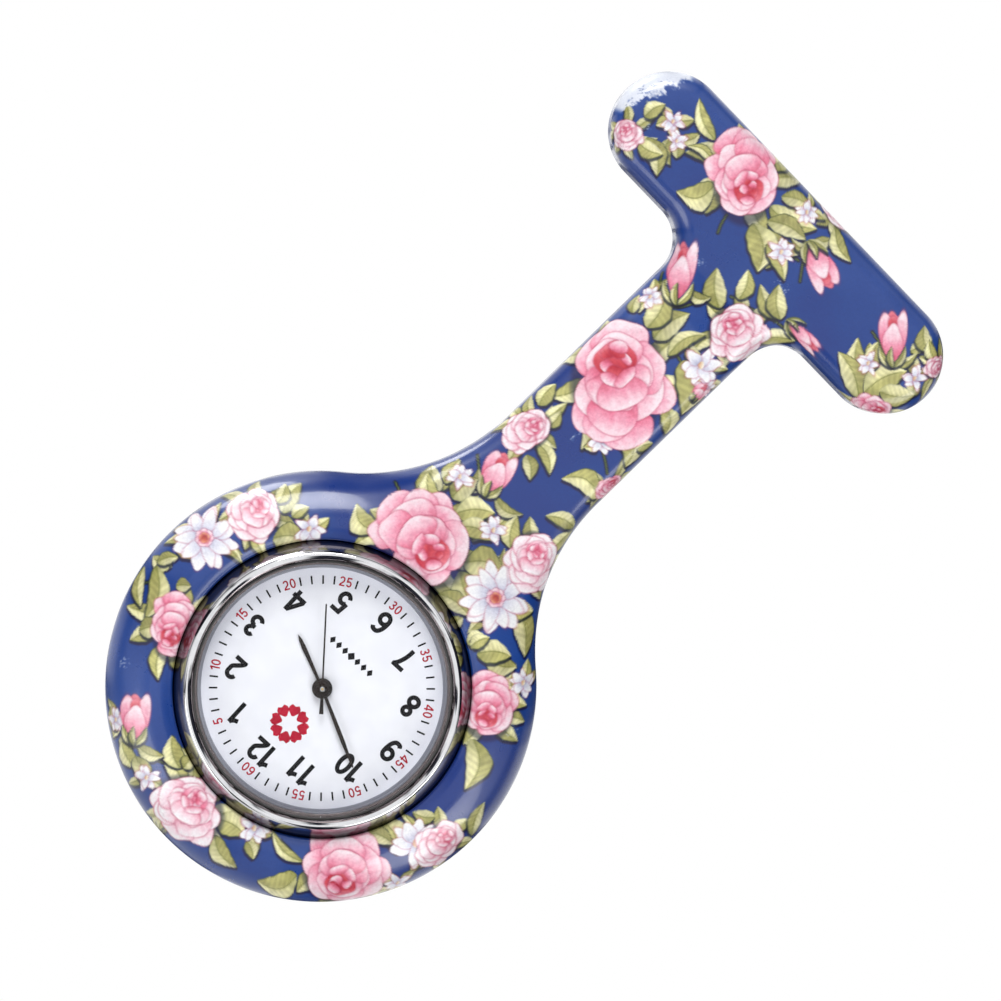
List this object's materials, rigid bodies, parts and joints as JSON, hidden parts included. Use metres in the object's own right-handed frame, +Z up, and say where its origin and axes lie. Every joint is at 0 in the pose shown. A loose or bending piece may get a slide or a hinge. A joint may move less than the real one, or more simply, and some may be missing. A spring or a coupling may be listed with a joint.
{
  "type": "nurse fob watch",
  "caption": "Round quartz watch hung upside down in a printed silicone fob with a brooch pin behind its T-bar.",
  "frame": {"origin": "middle of the brooch pin", "axes": "+Z up along the fob as worn, the dial faces -Y, +X to the right seen from the front"},
  "size_m": [0.0416, 0.0111, 0.088],
  "materials": {
    "silicone": "glossy moulded silicone with an all-over rose print on navy blue",
    "chrome": "polished plated",
    "crystal": "clear mineral glass",
    "gasket": "black gasket rubber",
    "rehaut": "fine turned, dark",
    "dial_white": "white lacquer, printed",
    "brass": "stamped",
    "holder": "moulded",
    "steel": "satin",
    "plate_plastic": "black moulded",
    "board": "solder mask",
    "nickel": "nickel plated",
    "copper": "enamelled copper wire",
    "wheel_plastic": "moulded",
    "hand_black": "gloss black",
    "brooch_steel": "nickel plated, satin"
  },
  "bodies": {
    "head_and_sleeve": {"silicone_sleeve": "silicone", "watch_case": "chrome", "crystal": "crystal", "crystal_gasket": "gasket", "rehaut_ring": "rehaut", "dial": "dial_white", "dial_washer": "brass", "movement_holder": "holder", "case_back": "steel", "case_back_gasket": "gasket", "crown_tube": "steel", "main_plate": "plate_plastic", "train_bridge": "steel", "bridge_screw_1": "steel", "bridge_screw_2": "steel", "circuit_board": "board", "board_screw": "steel", "circuit_chip": "plate_plastic", "quartz_can": "nickel", "coil_core": "nickel", "coil_winding": "copper", "stator": "nickel", "battery": "nickel", "battery_clamp": "steel", "clamp_screw": "steel", "brooch_plate": "brooch_steel", "hinge_rivet": "brooch_steel", "pin_catch": "brooch_steel"},
    "seconds": {"second_hand": "hand_black", "seconds_wheel": "brass"},
    "minutes": {"minute_hand": "hand_black", "centre_wheel": "brass"},
    "hours": {"hour_hand": "hand_black", "hour_wheel": "brass"},
    "third": {"third_wheel": "wheel_plastic"},
    "intermediate": {"intermediate_wheel": "wheel_plastic"},
    "rotor_body": {"rotor": "nickel"},
    "motion_work": {"minute_wheel": "wheel_plastic"},
    "setting": {"setting_wheel": "steel"},
    "clutch": {"clutch_pinion": "steel"},
    "crown_and_stem": {"crown": "chrome", "crown_gasket": "gasket", "stem": "steel"},
    "lever": {"setting_lever": "steel"},
    "pin": {"pin_needle": "brooch_steel"},
    "collar": {"safety_collar": "brooch_steel"}
  },
  "joints": [
    {"name": "second_hand_turn", "type": "hinge", "parent": "head_and_sleeve", "child": "seconds", "pos_m": [0, -0.007, -0.0612], "axis": [0, 1, 0], "continuous": true},
    {"name": "minute_hand_turn", "type": "hinge", "parent": "head_and_sleeve", "child": "minutes", "pos_m": [0, -0.007, -0.0612], "axis": [0, 1, 0], "continuous": true},
    {"name": "hour_hand_turn", "type": "hinge", "parent": "head_and_sleeve", "child": "hours", "pos_m": [0, -0.0067, -0.0612], "axis": [0, 1, 0], "continuous": true},
    {"name": "third_wheel_turn", "type": "hinge", "parent": "head_and_sleeve", "child": "third", "pos_m": [-0.00138, -0.0043, -0.06274], "axis": [0, 1, 0], "continuous": true},
    {"name": "intermediate_wheel_turn", "type": "hinge", "parent": "head_and_sleeve", "child": "intermediate", "pos_m": [-0.00145, -0.0037, -0.05966], "axis": [0, 1, 0], "continuous": true},
    {"name": "rotor_turn", "type": "hinge", "parent": "head_and_sleeve", "child": "rotor_body", "pos_m": [-0.00252, -0.0045, -0.05802], "axis": [0, 1, 0], "continuous": true},
    {"name": "minute_wheel_turn", "type": "hinge", "parent": "head_and_sleeve", "child": "motion_work", "pos_m": [-0.002, -0.0058, -0.06131], "axis": [0, 1, 0], "continuous": true},
    {"name": "setting_wheel_turn", "type": "hinge", "parent": "head_and_sleeve", "child": "setting", "pos_m": [-0.00429, -0.0057, -0.06144], "axis": [0, 1, 0], "continuous": true},
    {"name": "crown_turn", "type": "hinge", "parent": "head_and_sleeve", "child": "clutch", "pos_m": [-0.00499, -0.0043, -0.06148], "axis": [-0.9984, 0, -0.0567], "continuous": true},
    {"name": "crown_pull", "type": "slide", "parent": "clutch", "child": "crown_and_stem", "axis": [-0.9984, 0, -0.0567], "range_m": [0, 0.0007]},
    {"name": "setting_lever_turn", "type": "hinge", "parent": "head_and_sleeve", "child": "lever", "pos_m": [-0.00699, -0.0049, -0.0633], "axis": [0, 1, 0], "range_deg": [-24, 24]},
    {"name": "pin_open", "type": "hinge", "parent": "head_and_sleeve", "child": "pin", "pos_m": [-0.0135, 0, 0], "axis": [0, 0, 1], "range_deg": [0, 70]},
    {"name": "collar_turn", "type": "hinge", "parent": "head_and_sleeve", "child": "collar", "pos_m": [0.0137, 0, 0], "axis": [1, 0, 0], "range_deg": [-100, 0]}
  ],
  "couplings": [
    {"joint": "minute_hand_turn", "follows": "second_hand_turn", "ratio": 0.016667},
    {"joint": "hour_hand_turn", "follows": "second_hand_turn", "ratio": 0.0013889},
    {"joint": "third_wheel_turn", "follows": "second_hand_turn", "ratio": -0.13333},
    {"joint": "intermediate_wheel_turn", "follows": "second_hand_turn", "ratio": -5},
    {"joint": "rotor_turn", "follows": "second_hand_turn", "ratio": 30},
    {"joint": "minute_wheel_turn", "follows": "second_hand_turn", "ratio": -0.0055556},
    {"joint": "setting_wheel_turn", "follows": "second_hand_turn", "ratio": 0.010417},
    {"joint": "setting_lever_turn", "follows": "crown_pull", "rad_per_m": -580.13}
  ]
}
